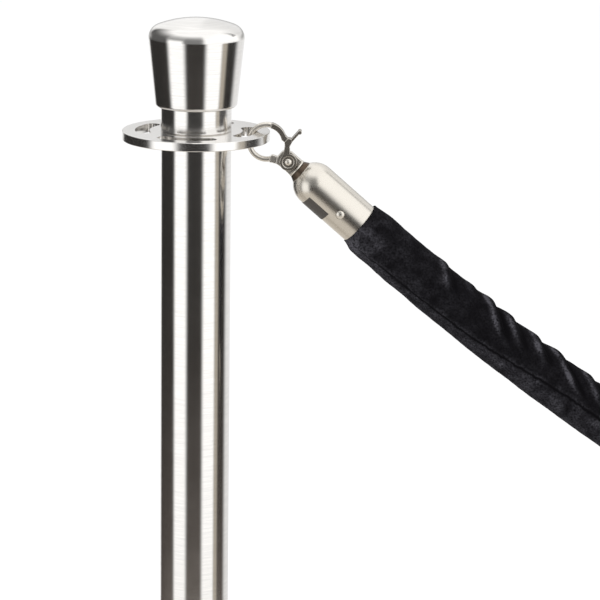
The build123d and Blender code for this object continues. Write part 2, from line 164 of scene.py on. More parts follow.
class StudioSettings(bpy.types.PropertyGroup):
    lens: FloatProperty(
        name="Lens", description="Focal length of the camera", default=169.2, min=20.0, max=400.0,
        unit="CAMERA",
    )
    distance: FloatProperty(
        name="Distance", description="How far in front of the post the camera stands",
        default=2.003442, min=0.5, max=10.0, unit="LENGTH",
    )
    aside: FloatProperty(
        name="Aside", description="How far right of the post the camera stands",
        default=0.076408, min=-5.0, max=5.0, unit="LENGTH",
    )
    height: FloatProperty(
        name="Height", description="Height of the camera", default=1.283673, min=0.1, max=5.0,
        unit="LENGTH",
    )
    pitch: FloatProperty(
        name="Pitch", description="How far the camera looks down", default=math.radians(13.3),
        subtype="ANGLE",
    )
    roll: FloatProperty(
        name="Roll", description="How far the camera leans", default=math.radians(0.76),
        subtype="ANGLE",
    )
    floor: colour("Floor", "Colour of the floor", "f4f4f4")
    sky: FloatProperty(
        name="Surround", description="Brightness of the white surround", default=1.12,
        min=0.0, max=10.0,
    )
    key: FloatProperty(
        name="Key light", description="Power of the overhead soft light", default=26.0, min=0.0,
        max=1000.0, unit="POWER",
    )
    tent_radius: FloatProperty(
        name="Tent radius", description="Distance of the reflected panels from the post", default=1.5,
        min=0.6, max=5.0, unit="LENGTH",
    )
    tent_height: FloatProperty(
        name="Tent height", description="Height of the reflected panels", default=3.6, min=0.5,
        max=5.0, unit="LENGTH",
    )


# ---------------------------------------------------------------- nodes


def add_node(tree, kind, settings=(), **sockets):
    """Adds a node, with its settings and its sockets. A socket takes a value or another's output,
    and is given by its name, or by its number where the node has several of one name."""
    node = tree.nodes.new(kind)
    for name, value in dict(settings).items():
        setattr(node, name, value)
    by_name = {}
    for socket in node.inputs:
        by_name.setdefault(socket.name.replace(" ", "_").lower(), socket)
    for name, value in sockets.items():
        socket = node.inputs[int(name[1:])] if name[0] == "_" else by_name[name]
        if isinstance(value, bpy.types.NodeSocket):
            tree.links.new(value, socket)
        else:
            socket.default_value = value
    return node


def new_material(name):
    """An empty node material and its tree."""
    material = bpy.data.materials.new(name)
    material.use_nodes = True
    material.node_tree.nodes.clear()
    return material, material.node_tree


def streaks(tree, lengths, turn=(0.0, 0.0, 0.0)):
    """Noise stretched to the given grain lengths in millimetres along each axis."""
    place = add_node(tree, "ShaderNodeTexCoord").outputs["Object"]
    turned = add_node(
        tree, "ShaderNodeMapping", {"vector_type": "POINT"}, vector=place, rotation=turn
    )
    grain = add_node(
        tree,
        "ShaderNodeMapping",
        vector=turned.outputs[0],
        scale=[1 / (length * MM) for length in lengths],
    )
    return add_node(
        tree, "ShaderNodeTexNoise", vector=grain.outputs[0], scale=1.0, detail=3.0, roughness=0.6
    ).outputs[0]


def darker(tint, share):
    """A colour scaled towards black."""
    return (*(v * share for v in tint[:3]), 1.0)


def give(names, material):
    """Puts a material on carried-over nodes, through their objects' own slots."""
    for name in names:
        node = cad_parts[name]
        if not node.material_slots:
            node.data.materials.append(None)
        for slot in node.material_slots:
            slot.link = "OBJECT"
            slot.material = material


# ---------------------------------------------------------------- metals


def round_brushed_stainless(settings):
    """Stainless steel polished with a belt as it turned: fine lines run round the tube, so lights
    stay crisp round it and stretch into long upright bands."""
    material, tree = new_material("brushed_stainless_round")
    lines = streaks(tree, (22.0, 22.0, 0.9))
    smudge = streaks(tree, (70.0, 70.0, 45.0))
    rough = settings.brush_roughness
    tint = add_node(
        tree,
        "ShaderNodeMix",
        {"data_type": "RGBA"},
        factor=add_node(
            tree, "ShaderNodeMapRange", value=lines, from_min=NOISE_LOW, from_max=NOISE_HIGH
        ).outputs[0],
        _6=darker(settings.steel, 0.88),
        _7=settings.steel,
    )
    gloss = add_node(
        tree,
        "ShaderNodeMapRange",
        value=smudge,
        from_min=NOISE_LOW,
        from_max=NOISE_HIGH,
        to_min=rough * 0.9,
        to_max=rough * 1.12,
    )
    around = add_node(tree, "ShaderNodeTangent", {"direction_type": "RADIAL", "axis": "Z"})
    scratches = add_node(tree, "ShaderNodeBump", height=lines, distance=0.02 * MM, strength=0.6)
    steel = add_node(
        tree,
        "ShaderNodeBsdfPrincipled",
        base_color=tint.outputs[2],
        metallic=1.0,
        roughness=gloss.outputs[0],
        anisotropic=0.5,
        anisotropic_rotation=0.25,
        tangent=around.outputs[0],
        normal=scratches.outputs[0],
    )
    add_node(tree, "ShaderNodeOutputMaterial", surface=steel.outputs[0])
    return material


def flat_brushed_stainless(settings):
    """Laser-cut stainless plate with a satin grain: a soft, even pale grey with faint lines."""
    material, tree = new_material("brushed_stainless_plate")
    lines = streaks(tree, (40.0, 0.9, 6.0))
    tint = add_node(
        tree,
        "ShaderNodeMix",
        {"data_type": "RGBA"},
        factor=lines,
        _6=darker(settings.steel, 0.96),
        _7=settings.steel,
    )
    gloss = add_node(
        tree,
        "ShaderNodeMapRange",
        value=lines,
        from_min=NOISE_LOW,
        from_max=NOISE_HIGH,
        to_min=0.15,
        to_max=0.2,
    )
    scratches = add_node(tree, "ShaderNodeBump", height=lines, distance=0.002 * MM, strength=0.15)
    steel = add_node(
        tree,
        "ShaderNodeBsdfPrincipled",
        base_color=tint.outputs[2],
        metallic=1.0,
        roughness=gloss.outputs[0],
        normal=scratches.outputs[0],
    )
    add_node(tree, "ShaderNodeOutputMaterial", surface=steel.outputs[0])
    return material


def spun_stainless(settings):
    """Stainless sheet spun over a form: fine rings about the centre and a soft satin gloss."""
    material, tree = new_material("spun_stainless_cover")
    place = add_node(tree, "ShaderNodeTexCoord").outputs["Object"]
    flat = add_node(tree, "ShaderNodeVectorMath", {"operation": "MULTIPLY"}, _0=place, _1=(1, 1, 0))
    reach = add_node(tree, "ShaderNodeVectorMath", {"operation": "LENGTH"}, _0=flat.outputs[0])
    rings = add_node(
        tree,
        "ShaderNodeTexNoise",
        {"noise_dimensions": "1D"},
        w=reach.outputs["Value"],
        scale=1 / (1.1 * MM),
        detail=3.0,
    ).outputs[0]
    tint = add_node(
        tree,
        "ShaderNodeMix",
        {"data_type": "RGBA"},
        factor=rings,
        _6=darker(settings.steel, 0.86),
        _7=settings.steel,
    )
    gloss = add_node(
        tree,
        "ShaderNodeMapRange",
        value=rings,
        from_min=NOISE_LOW,
        from_max=NOISE_HIGH,
        to_min=0.24,
        to_max=0.36,
    )
    grooves = add_node(tree, "ShaderNodeBump", height=rings, distance=0.03 * MM, strength=0.6)
    steel = add_node(
        tree,
        "ShaderNodeBsdfPrincipled",
        base_color=tint.outputs[2],
        metallic=1.0,
        roughness=gloss.outputs[0],
        normal=grooves.outputs[0],
    )
    add_node(tree, "ShaderNodeOutputMaterial", surface=steel.outputs[0])
    return material


def satin_nickel(settings, slope, name):
    """Nickel plate over a brushed brass cup: warm, soft and even, with lines along the cup."""
    material, tree = new_material(name)
    lines = streaks(tree, (24.0, 1.1, 1.1), (0.0, math.radians(-slope), 0.0))
    cloud = streaks(tree, (16.0, 16.0, 16.0))
    tint = add_node(
        tree,
        "ShaderNodeMix",
        {"data_type": "RGBA"},
        factor=lines,
        _6=darker(settings.nickel, 0.94),
        _7=settings.nickel,
    )
    gloss = add_node(
        tree,
        "ShaderNodeMapRange",
        value=cloud,
        from_min=NOISE_LOW,
        from_max=NOISE_HIGH,
        to_min=0.25,
        to_max=0.29,
    )
    scratches = add_node(tree, "ShaderNodeBump", height=lines, distance=0.005 * MM, strength=0.1)
    nickel = add_node(
        tree,
        "ShaderNodeBsdfPrincipled",
        base_color=tint.outputs[2],
        metallic=1.0,
        roughness=gloss.outputs[0],
        normal=scratches.outputs[0],
    )
    add_node(tree, "ShaderNodeOutputMaterial", surface=nickel.outputs[0])
    return material


# How gradually the painted shade in the recesses ends, and how far a casting's corners have to turn,
# as the cosine between the flat face and the rounded one, to start and to finish turning glossy and
# taking the painted highlight of the edge colour.
SHADE_FADE = 0.35
HIGHLIGHT_FROM = 0.96
HIGHLIGHT_FULL = 0.8


def nickel_casting(name, face, edge, recess_shade, unshaded_from):
    """Nickel plate over a tumbled die casting: soft warm faces, rounded corners that are glossier and
    carry a painted highlight in the edge colour, and brown painted shade in the recesses, where less
    of the surroundings reaches the surface than the share given last."""
    material, tree = new_material(name)
    ripple = streaks(tree, (2.4, 2.4, 2.4))
    uneven = add_node(
        tree, "ShaderNodeMix", {"data_type": "RGBA"}, factor=ripple, _6=darker(face, 0.88), _7=face
    )
    # Ambient occlusion, for painted shade in the recesses.
    hollow = add_node(tree, "ShaderNodeAmbientOcclusion", {"samples": 8}, distance=2.0 * MM)
    unshaded = add_node(
        tree,
        "ShaderNodeMapRange",
        value=hollow.outputs["AO"],
        from_min=unshaded_from,
        from_max=unshaded_from + SHADE_FADE,
    )
    shaded_face = add_node(
        tree,
        "ShaderNodeMix",
        {"data_type": "RGBA"},
        factor=unshaded.outputs[0],
        _6=recess_shade,
        _7=uneven.outputs[2],
    )
    # Rounded corners: where they turn from the flat face they are glossier and get a painted
    # highlight in the edge colour.
    worn = add_node(tree, "ShaderNodeBevel", {"samples": 8}, radius=0.8 * MM)
    plain = add_node(tree, "ShaderNodeNewGeometry")
    turned = add_node(
        tree,
        "ShaderNodeVectorMath",
        {"operation": "DOT_PRODUCT"},
        _0=worn.outputs[0],
        _1=plain.outputs["Normal"],
    )
    edge_highlight = add_node(
        tree,
        "ShaderNodeMapRange",
        value=turned.outputs["Value"],
        from_min=HIGHLIGHT_FROM,
        from_max=HIGHLIGHT_FULL,
    )
    tint = add_node(
        tree,
        "ShaderNodeMix",
        {"data_type": "RGBA"},
        factor=edge_highlight.outputs[0],
        _6=shaded_face.outputs[2],
        _7=edge,
    )
    gloss = add_node(
        tree,
        "ShaderNodeMapRange",
        value=edge_highlight.outputs[0],
        to_min=0.34,
        to_max=0.22,
    )
    skin = add_node(
        tree,
        "ShaderNodeBump",
        height=ripple,
        distance=0.02 * MM,
        strength=0.4,
        normal=worn.outputs[0],
    )
    nickel = add_node(
        tree,
        "ShaderNodeBsdfPrincipled",
        base_color=tint.outputs[2],
        metallic=1.0,
        roughness=gloss.outputs[0],
        normal=skin.outputs[0],
    )
    add_node(tree, "ShaderNodeOutputMaterial", surface=nickel.outputs[0])
    return material


def zinc_plate(settings):
    """Bright zinc plate on mild steel: a cool grey with a faint cloudy bloom."""
    material, tree = new_material("zinc_plated_steel")
    cloud = streaks(tree, (5.0, 5.0, 5.0))
    tint = add_node(
        tree,
        "ShaderNodeMix",
        {"data_type": "RGBA"},
        factor=cloud,
        _6=darker(settings.zinc, 0.75),
        _7=settings.zinc,
    )
    gloss = add_node(
        tree,
        "ShaderNodeMapRange",
        value=cloud,
        from_min=NOISE_LOW,
        from_max=NOISE_HIGH,
        to_min=0.3,
        to_max=0.45,
    )
    zinc = add_node(
        tree,
        "ShaderNodeBsdfPrincipled",
        base_color=tint.outputs[2],
        metallic=1.0,
        roughness=gloss.outputs[0],
    )
    add_node(tree, "ShaderNodeOutputMaterial", surface=zinc.outputs[0])
    return material


def cast_iron(settings):
    """Sand-cast grey iron in black primer: dull and finely pitted."""
    material, tree = new_material("primed_cast_iron")
    sand = streaks(tree, (1.4, 1.4, 1.4))
    tint = add_node(
        tree,
        "ShaderNodeMix",
        {"data_type": "RGBA"},
        factor=sand,
        _6=darker(settings.iron, 0.7),
        _7=settings.iron,
    )
    pits = add_node(tree, "ShaderNodeBump", height=sand, distance=0.25 * MM)
    primer = add_node(
        tree,
        "ShaderNodeBsdfPrincipled",
        base_color=tint.outputs[2],
        roughness=0.7,
        normal=pits.outputs[0],
    )
    add_node(tree, "ShaderNodeOutputMaterial", surface=primer.outputs[0])
    return material


def spring_steel():
    """Drawn music wire, dark grey and smooth."""
    material, tree = new_material("drawn_spring_steel")
    drawn = streaks(tree, (3.0, 0.6, 0.6))
    tint = add_node(
        tree,
        "ShaderNodeMix",
        {"data_type": "RGBA"},
        factor=drawn,
        _6=linear("77736d"),
        _7=linear("98938b"),
    )
    wire = add_node(
        tree,
        "ShaderNodeBsdfPrincipled",
        base_color=tint.outputs[2],
        metallic=1.0,
        roughness=0.28,
    )
    add_node(tree, "ShaderNodeOutputMaterial", surface=wire.outputs[0])
    return material


# ---------------------------------------------------------------- soft finishes


def moulded_rubber(settings):
    """Moulded black rubber with a matt skin: no gloss, slightly dusty."""
    material, tree = new_material("moulded_rubber")
    dust = streaks(tree, (7.0, 7.0, 7.0))
    tint = add_node(
        tree,
        "ShaderNodeMix",
        {"data_type": "RGBA"},
        factor=dust,
        _6=darker(settings.rubber, 0.7),
        _7=settings.rubber,
    )
    gloss = add_node(
        tree,
        "ShaderNodeMapRange",
        value=dust,
        from_min=NOISE_LOW,
        from_max=NOISE_HIGH,
        to_min=0.6,
        to_max=0.8,
    )
    skin = add_node(
        tree, "ShaderNodeBump", height=streaks(tree, (0.8, 0.8, 0.8)), distance=0.04 * MM
    )
    rubber = add_node(
        tree,
        "ShaderNodeBsdfPrincipled",
        base_color=tint.outputs[2],
        roughness=gloss.outputs[0],
        normal=skin.outputs[0],
    )
    add_node(tree, "ShaderNodeOutputMaterial", surface=rubber.outputs[0])
    return material


def label_film(settings):
    """Plain dark vinyl film: even colour with a low, soft gloss."""
    material, tree = new_material("dark_vinyl_film")
    wear = streaks(tree, (3.0, 3.0, 3.0))
    tint = add_node(
        tree,
        "ShaderNodeMix",
        {"data_type": "RGBA"},
        factor=wear,
        _6=darker(settings.label, 0.88),
        _7=settings.label,
    )
    gloss = add_node(
        tree,
        "ShaderNodeMapRange",
        value=wear,
        from_min=NOISE_LOW,
        from_max=NOISE_HIGH,
        to_min=0.42,
        to_max=0.55,
    )
    film = add_node(
        tree,
        "ShaderNodeBsdfPrincipled",
        base_color=tint.outputs[2],
        roughness=gloss.outputs[0],
    )
    add_node(tree, "ShaderNodeOutputMaterial", surface=film.outputs[0])
    return material


def cotton_rope(settings):
    """Twisted natural cotton: soft, pale strands."""
    material, tree = new_material("twisted_cotton")
    strands = streaks(tree, (9.0, 1.2, 3.0), (0.0, math.radians(-20.0), 0.0))
    tint = add_node(
        tree,
        "ShaderNodeMix",
        {"data_type": "RGBA"},
        factor=strands,
        _6=darker(settings.cotton, 0.6),
        _7=settings.cotton,
    )
    twist = add_node(tree, "ShaderNodeBump", height=strands, distance=0.5 * MM)
    cotton = add_node(
        tree,
        "ShaderNodeBsdfPrincipled",
        base_color=tint.outputs[2],
        roughness=0.95,
        normal=twist.outputs[0],
    )
    add_node(tree, "ShaderNodeOutputMaterial", surface=cotton.outputs[0])
    return material


def black_velvet(settings):
    """Cotton velvet with a short upright pile: almost black seen into, grey where the cover's pile
    attribute is high, which is partly the pile's lay and partly painted sheen and painted shade, and
    mottled all over. Its tufts are drawn as 1.5 mm clumps, to show."""
    material, tree = new_material("black_cotton_velvet")
    # The pile attribute: partly the pile's lay, partly painted sheen and painted shade.
    brushed = add_node(tree, "ShaderNodeAttribute", {"attribute_name": "pile"}).outputs["Fac"]
    tufts = streaks(tree, (1.5, 1.5, 1.5))
    patches = streaks(tree, (7.0, 7.0, 7.0))
    clumps = add_node(
        tree,
        "ShaderNodeMapRange",
        value=tufts,
        from_min=NOISE_LOW,
        from_max=NOISE_HIGH,
        to_min=0.0,
        to_max=1.9,
    )
    areas = add_node(
        tree,
        "ShaderNodeMapRange",
        value=patches,
        from_min=NOISE_LOW,
        from_max=NOISE_HIGH,
        to_min=0.5,
        to_max=1.4,
    )
    grain = add_node(
        tree,
        "ShaderNodeMath",
        {"operation": "MULTIPLY"},
        _0=clumps.outputs[0],
        _1=areas.outputs[0],
    )
    lit = add_node(
        tree,
        "ShaderNodeMath",
        {"operation": "MULTIPLY", "use_clamp": True},
        _0=brushed,
        _1=grain.outputs[0],
    )
    # Towards the pile colour where the attribute is high: painted sheen, with the pile's lay.
    tint = add_node(
        tree,
        "ShaderNodeMix",
        {"data_type": "RGBA"},
        factor=lit.outputs[0],
        _6=settings.velvet,
        _7=settings.pile,
    )
    nap = add_node(tree, "ShaderNodeBump", height=tufts, distance=0.4 * MM, strength=0.8)
    velvet = add_node(
        tree,
        "ShaderNodeBsdfPrincipled",
        base_color=tint.outputs[2],
        roughness=1.0,
        specular_ior_level=0.03,
        sheen_weight=0.03,
        sheen_roughness=0.4,
        sheen_tint=linear("8f8e97"),
        normal=nap.outputs[0],
    )
    add_node(tree, "ShaderNodeOutputMaterial", surface=velvet.outputs[0])
    return material


# ---------------------------------------------------------------- velvet cover


# Cross folds of the cover: where each crosses the top of the rope, how far it leans towards the
# far end on its way down the side, its height, and the angle above the front where it dies out.
# Here and below, places are millimetres along the rope from the near mouth or round it from the
# seam, angles are degrees round it from the front, with the top at 90, and a pair is where
# something starts to come in and where all of it is there.
COVER_FOLDS = (
    (66.0, 17.0, 0.9, 18.0),
    (93.0, 8.0, 0.5, 52.0),
    (109.0, 23.0, 1.7, 12.0),
    (129.0, 22.0, 1.0, 16.0),
    (153.0, 22.0, 1.3, 24.0),
    (173.0, 31.0, 1.5, 12.0),
    (203.0, 24.0, 1.1, 20.0),
    (222.0, 18.0, 0.8, 30.0),
)
TOP = 90.0
# A fold's section past its crest, and how deep its hollow is as a share of its height.
FOLD_RISE = (-13.0, 0.0)
FOLD_DROP = (0.0, 5.0)
FOLD_LEVEL = (5.0, 14.0)
FOLD_HOLLOW = 0.55
# A fold leans by its whole lean this far from the top, on a curve of this power.
LEAN_ANGLE = 70.0
LEAN_POWER = 1.25
# Over what angle a fold dies out at the front and at the back, and where the back's end is: the
# nearer the front a fold reaches, the further it goes down the back.
FRONT_FADE = 30.0
BACK_FADE = 34.0
BACK_END = 182.0
BACK_SHARE = 0.6
# The seam: the angle where it starts, how far it climbs, and its slow wander to either side.
SEAM_START = -45.0
SEAM_CLIMB = 50.0
SEAM_RUN = (-24.0, 276.0)
SEAM_WANDER = 3.0
SEAM_WANDER_LENGTH = 24.0
# Along each stitch the seam's depth goes up and down by this share of it, and the cloth above
# the seam stands up in a low ridge.
STITCH_SHARE = 0.2
RIDGE_HEIGHT = 0.35
RIDGE_PLACE = 2.2
RIDGE_WIDTH = 1.6
# The mouth is wider at the top and opens more slowly there. No seam or fold shows at its edge.
MOUTH_UP = 0.5
MOUTH_OPEN = 0.12
SWELL_LEVEL = 1.15
SWELL_UP = 0.35
MOUTH_PLAIN = (0.0, 14.0)
# Unevenness of the cloth and of its pile: the length of its waves along the rope, and how often
# they come round it.
SLOW_WAVES = (17.0, 1.3)
SMALL_WAVES = (5.0, 4.0)
SMALL_WAVE_HEIGHT = 0.16
PILE_PATCHES = (9.0, 2.4)
PILE_SPECKS = (4.0, 4.5)
# How much lighter the pile is, partly its lay and partly painted sheen and painted shade: all along,
# and less of it past the first stretch.
PILE_PLAIN = 0.1
PILE_LESS = 0.045
PILE_LESS_PAST = (50.0, 110.0)
# Below the seam, as far as the back.
PILE_BELOW = 0.19
BELOW_SEAM = (3.0, -2.0)
BEFORE_BACK = (-150.0, -90.0)
# Painted highlight on the ridge above the seam, and painted shade in its groove.
PILE_RIDGE = 0.12
PILE_RIDGE_PLACE = 1.9
PILE_RIDGE_WIDTH = 1.2
PILE_GROOVE = 0.3
PILE_SEAM_RAGGED = 1.1
# On the lower side of the near mouth.
PILE_MOUTH = 0.3
BY_MOUTH = (34.0, 8.0)
LOW_SIDE = (30.0, -10.0)
# Painted highlight on the lit front of each fold, just before its crest, and painted shade in the
# hollow after it.
PILE_FOLD = 0.62
PILE_FOLD_BEFORE = 5.0
PILE_FOLD_WIDTH = 2.6
PILE_HOLLOW = 0.1
PILE_HOLLOW_PLACE = 9.0
PILE_HOLLOW_WIDTH = 4.0
FRONT_OF_TOP = (98.0, 76.0)
# How strongly patches and specks break it up. The patches are moved clear of the slow waves,
# so that they don't follow them.
PATCH_SHARE = 0.9
PATCH_SHIFT = 40.0
SPECK_SHARE = 0.5
SPECK_SCALE = 0.7
# A hem has a ring at one in this many points of the rope's line.
HEM_STRIDE = 6


def ramp(value, start, end):
    """An S curve that is 0 at the start and 1 at the end."""
    t = min(1.0, max(0.0, (value - start) / (end - start)))
    return t * t * (3 - 2 * t)


def bell(value):
    """A bell curve that is 1 in its middle."""
    return math.exp(-(value**2))


def rope_line(steps):
    """Points on the rope's smooth line, as Blender works them out from the route."""
    curve = bpy.data.curves.new("rope_line", "CURVE")
    curve.dimensions = "3D"
    spline = curve.splines.new("NURBS")
    spline.points.add(len(ROPE_POINTS) - 1)
    for point, place in zip(spline.points, ROPE_POINTS):
        point.co = (*place, 1.0)
    spline.order_u = 3
    spline.use_endpoint_u = True
    spline.resolution_u = steps
    holder = bpy.data.objects.new("rope_line", curve)
    bpy.context.scene.collection.objects.link(holder)
    mesh = bpy.data.meshes.new_from_object(holder)
    points = [v.co.copy() for v in mesh.vertices]
    bpy.data.objects.remove(holder)
    bpy.data.curves.remove(curve)
    bpy.data.meshes.remove(mesh)
    return points


def fold_shape(past):
    """A fold's section: it rises slowly and drops fast, with a small hollow behind it."""
    if past < 0:
        return ramp(past, *FOLD_RISE)
    drop = (1 + FOLD_HOLLOW) * ramp(past, *FOLD_DROP)
    return 1 - drop + FOLD_HOLLOW * ramp(past, *FOLD_LEVEL)


def fold_past(fold, along, angle):
    """How far past a fold's crest a point of the cover lies."""
    place, lean, _, _ = fold
    return along - place - lean * (abs(TOP - angle) / LEAN_ANGLE) ** LEAN_POWER


def fold_share(fold, angle):
    """How much of a fold is left at an angle round the rope: none of it reaches the underside."""
    front = fold[3]
    back = BACK_END - front * BACK_SHARE
    return ramp(angle, front, front + FRONT_FADE) * ramp(angle, back, back - BACK_FADE)


def seam_offset(along, angle, settings):
    """Distance round the rope from the seam, positive above it. The seam starts low on the near
    ferrule and winds slowly up the front."""
    seam = SEAM_START + SEAM_CLIMB * ramp(along, *SEAM_RUN)
    seam += SEAM_WANDER * math.sin(along / SEAM_WANDER_LENGTH)
    return math.radians(angle - seam) * settings.radius / MM


def wave_place(along, angle, waves, shift=0.0):
    """A point of the cover as a place in a noise of such waves."""
    length, around = waves
    turn = math.radians(angle)
    return Vector((along / length + shift, math.cos(turn) * around, math.sin(turn) * around))


def cover_radius(along, angle, length, settings):
    """Radius of the cover at a distance along the rope and an angle round it, in millimetres."""
    from_mouth = min(along, length - along)
    up = math.sin(math.radians(angle))
    swell = settings.swell / MM * (SWELL_LEVEL + SWELL_UP * up)
    mouth = settings.mouth_radius / MM + MOUTH_UP * up
    opened = ramp(from_mouth / swell + MOUTH_OPEN, 0.0, 1.0)
    radius = mouth + (settings.radius / MM - mouth) * opened
    plain = ramp(from_mouth, *MOUTH_PLAIN)
    for fold in COVER_FOLDS:
        shape = fold_shape(fold_past(fold, along, angle))
        radius += fold[2] * shape * fold_share(fold, angle) * plain
    off = seam_offset(along, angle, settings)
    stitch = math.cos(2 * math.pi * along * MM / settings.stitch)
    depth = settings.seam_depth / MM * (1 - STITCH_SHARE + STITCH_SHARE * stitch)
    radius -= depth * bell(off * MM / settings.seam_width) * plain
    radius += RIDGE_HEIGHT * bell((off - RIDGE_PLACE) / RIDGE_WIDTH) * plain
    slow = noise.noise(wave_place(along, angle, SLOW_WAVES))
    radius += settings.unevenness / MM * slow * plain
    return radius + SMALL_WAVE_HEIGHT * noise.noise(wave_place(along, angle, SMALL_WAVES))


def pile_lay_and_sheen(along, angle, settings):
    """How far the pile is lightened, from 0 to 1: partly its lay, and partly painted sheen on the
    fronts of the folds and the ridge above the seam, less painted shade in the seam's groove and the
    folds' hollows.
    """
    speck = wave_place(along, angle, PILE_SPECKS)
    off = seam_offset(along, angle, settings) + PILE_SEAM_RAGGED * noise.noise(speck)
    lit = PILE_PLAIN - PILE_LESS * ramp(along, *PILE_LESS_PAST)
    lit += PILE_BELOW * ramp(off, *BELOW_SEAM) * ramp(angle, *BEFORE_BACK)
    lit += PILE_RIDGE * bell((off - PILE_RIDGE_PLACE) / PILE_RIDGE_WIDTH)
    lit -= PILE_GROOVE * bell(off)
    lit += PILE_MOUTH * ramp(along, *BY_MOUTH) * ramp(angle, *LOW_SIDE)
    for fold in COVER_FOLDS:
        past = fold_past(fold, along, angle) + PILE_FOLD_BEFORE
        share = fold[2] * fold_share(fold, angle) * ramp(angle, *FRONT_OF_TOP)
        lit += PILE_FOLD * bell(past / PILE_FOLD_WIDTH) * share
        lit -= PILE_HOLLOW * bell((past - PILE_HOLLOW_PLACE) / PILE_HOLLOW_WIDTH) * share
    patch = wave_place(along, angle, PILE_PATCHES, PATCH_SHIFT)
    uneven = 1 + PATCH_SHARE * noise.noise(patch) + SPECK_SHARE * noise.noise(speck * SPECK_SCALE)
    return min(1.0, max(0.0, lit * uneven))


def cover_rings(line, settings):
    """The cover's rings: hem, outside and hem, as place on the line, distance along, and the
    fixed radius of a hem's ring or None."""
    along = [0.0]
    for before, here in zip(line, line[1:]):
        along.append(along[-1] + (here - before).length / MM)
    length = along[-1]
    inner = settings.inner_radius / MM
    deep = [i for i in range(len(line)) if along[i] <= settings.hem / MM][::HEM_STRIDE]
    rim = (settings.mouth_radius / MM + inner) / 2
    hem = [(i, inner) for i in reversed(deep)] + [(0, rim)]
    rings = [(i, along[i], r) for i, r in hem]
    rings += [(i, along[i], None) for i in range(len(line))]
    last = len(line) - 1
    rings += [(last - i, length - along[i], r) for i, r in reversed(hem)]
    return rings, length


def make_cover(settings):
    """The velvet cover as a mesh, with how far its pile is lightened at each point, partly by its lay
    and partly by painted sheen and painted shade.
    """
    line = rope_line(settings.steps)
    rings, length = cover_rings(line, settings)
    front = Vector((0.0, -1.0, 0.0))
    mesh = bmesh.new()
    pile = mesh.verts.layers.float.new("pile")
    made = []
    for index, along, fixed in rings:
        way = line[min(index + 1, len(line) - 1)] - line[max(index - 1, 0)]
        way.normalize()
        up = Vector((-way.z, 0.0, way.x))
        ring = []
        for step in range(settings.around):
            angle = step * 360.0 / settings.around - 180.0
            turn = math.radians(angle)
            radius = cover_radius(along, angle, length, settings) if fixed is None else fixed
            spot = line[index] + (front * math.cos(turn) + up * math.sin(turn)) * radius * MM
            vertex = mesh.verts.new(spot)
            # The pile attribute: the pile's lay, with painted sheen and painted shade.
            vertex[pile] = pile_lay_and_sheen(along, angle, settings)
            ring.append(vertex)
        made.append(ring)
    for before, here in zip(made, made[1:]):
        for a, b, c, d in zip(before, before[1:] + before[:1], here[1:] + here[:1], here):
            mesh.faces.new((a, b, c, d)).smooth = True
    bmesh.ops.recalc_face_normals(mesh, faces=mesh.faces)
    data = bpy.data.meshes.new("velvet_cover")
    mesh.to_mesh(data)
    mesh.free()
    cover = bpy.data.objects.new("velvet_cover", data)
    bpy.context.scene.collection.objects.link(cover)
    return cover, line


# ---------------------------------------------------------------- studio

# Upright panels round the post that only its polished surfaces see: where each starts and ends,
# in degrees from the front and positive to the right, how soft its edges are, how bright it is,
# and its colour. Between them hang black flags.
WHITE = "ffffff"
PANELS = (
    (-196.0, -150.0, 8.0, 1.1, WHITE),
    (-71.0, -27.5, 7.0, 1.4, WHITE),
    (26.0, 70.5, 7.0, 1.4, WHITE),
    (68.5, 83.0, 4.0, 0.5, "fff4e2"),
    (118.0, 196.0, 12.0, 0.95, WHITE),
)
PANEL_FOOT_LEVEL = 0.9
PANEL_FOOT_HEIGHT = 0.6
FLAG = "f0d8cc"
FLAG_LEVEL = 0.005
# The flags catch some light from the paper, up to this height and on a curve of this power.
FLAG_GLOW = 0.085
FLAG_GLOW_HEIGHT = 0.5
FLAG_GLOW_POWER = 1.3
# Thin cloths hang over the panels: where each starts and ends, how soft its edges are, its
# brightness, and the heights between which it takes over. Above them the wall clears to white.
VEILS = (
    (-142.0, -75.0, 12.0, 0.09, 0.72, 0.98),
    (-77.0, -27.0, 7.0, 0.36, 1.15, 1.6),
    (-29.0, 20.0, 8.0, 0.22, 0.72, 0.98),
    (19.0, 124.0, 8.0, 1.4, 0.72, 0.98),
)
CLEAR_FROM = 1.45
CLEAR_LEVEL = 1.3
# The grey rail that the back cloth hangs over, and the stand of the tall right panel.
RAIL_AZIMUTHS = (125.0, 145.0)
RAIL_HEIGHT = 1.05
RAIL_HALF = 0.17
RAIL_LEVEL = 0.45
STAND_AZIMUTH = 113.0
STAND_HALF = 4.5
STAND_HEIGHTS = (1.5, 1.6)
STAND_LEVEL = 0.3
# The lit paper round the base.
SKIRT_INNER = 0.24
SKIRT_LIFT = 0.002
SKIRT_EDGE = 0.12
SKIRT_LEVEL = 0.74
SKIRT = "fff8ee"
# How finely the tent is divided.
TENT_COLUMNS = 360
SKIRT_STEPS = 12
WALL_STEPS = 90
CEILING_STEPS = 24

FLOOR_RADIUS = 60.0
FLOOR_SIDES = 96
SENSOR_WIDTH = 36.0
KEY_PLACE = (-1.1, -1.3, 2.3)
KEY_TARGET = (0.1, 0.0, 0.8)
KEY_WIDTH = 1.2


def panel_share(azimuth, panel):
    """How much of a panel shows at an azimuth."""
    first, last, soft = panel[:3]
    return ramp(azimuth, first - soft, first + soft) * ramp(azimuth, last + soft, last - soft)


def toward(tone, target, share):
    """A light moved some way towards another."""
    return [a + (b - a) * share for a, b in zip(tone, target)]


